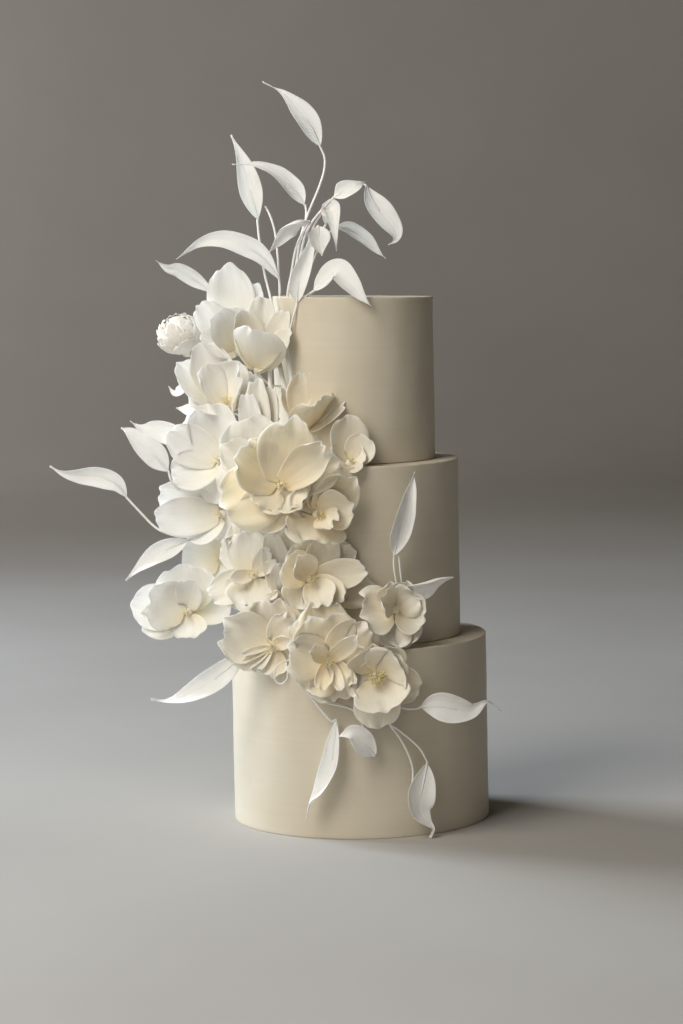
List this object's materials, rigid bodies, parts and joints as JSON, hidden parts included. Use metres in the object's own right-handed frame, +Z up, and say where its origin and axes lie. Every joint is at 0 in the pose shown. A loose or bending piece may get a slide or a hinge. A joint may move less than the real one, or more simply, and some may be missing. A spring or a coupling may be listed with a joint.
{
  "type": "tiered wedding cake",
  "caption": "Tiered round wedding cake in smooth ivory icing, with a cascade of white sugar flowers, pointed leaves and wired stems down one side of its front.",
  "frame": {"origin": "centre of the underside of the bottom tier", "axes": "+Z up through the tiers' common axis, -Y towards the decorated front, +X to the right of someone facing that front"},
  "size_m": [0.4464, 0.3113, 0.7479],
  "materials": {
    "icing": "satin",
    "petal_paste": "matte",
    "leaf_paste": "matte",
    "wrapped_wire": "matte"
  },
  "bodies": {
    "root": {"bud_rosette": "petal_paste", "flower_01": "petal_paste", "flower_02": "petal_paste", "flower_03": "petal_paste", "flower_04": "petal_paste", "flower_05": "petal_paste", "flower_06": "petal_paste", "flower_07": "petal_paste", "flower_08": "petal_paste", "flower_09": "petal_paste", "flower_10": "petal_paste", "flower_11": "petal_paste", "flower_12": "petal_paste", "flower_13": "petal_paste", "flower_14": "petal_paste", "flower_15": "petal_paste", "flower_16": "petal_paste", "flower_17": "petal_paste", "flower_18": "petal_paste", "flower_19": "petal_paste", "flower_20": "petal_paste", "leaf_01": "leaf_paste", "leaf_02": "leaf_paste", "leaf_03": "leaf_paste", "leaf_04": "leaf_paste", "leaf_05": "leaf_paste", "leaf_06": "leaf_paste", "leaf_07": "leaf_paste", "leaf_08": "leaf_paste", "leaf_09": "leaf_paste", "leaf_10": "leaf_paste", "leaf_12": "leaf_paste", "leaf_13": "leaf_paste", "leaf_14": "leaf_paste", "leaf_15": "leaf_paste", "leaf_16": "leaf_paste", "leaf_17": "leaf_paste", "leaf_18": "leaf_paste", "leaf_19": "leaf_paste", "leaf_20": "leaf_paste", "leaf_21": "leaf_paste", "leaf_22": "leaf_paste", "leaf_23": "leaf_paste", "leaf_24": "leaf_paste", "leaf_25": "leaf_paste", "leaf_26": "leaf_paste", "leaf_27": "leaf_paste", "stem_01": "wrapped_wire", "stem_02": "wrapped_wire", "stem_03": "wrapped_wire", "stem_04": "wrapped_wire", "stem_05": "wrapped_wire", "stem_06": "wrapped_wire", "stem_07": "wrapped_wire", "stem_08": "wrapped_wire", "tier_bottom": "icing", "tier_middle": "icing", "tier_top": "icing"}
  },
  "joints": []
}
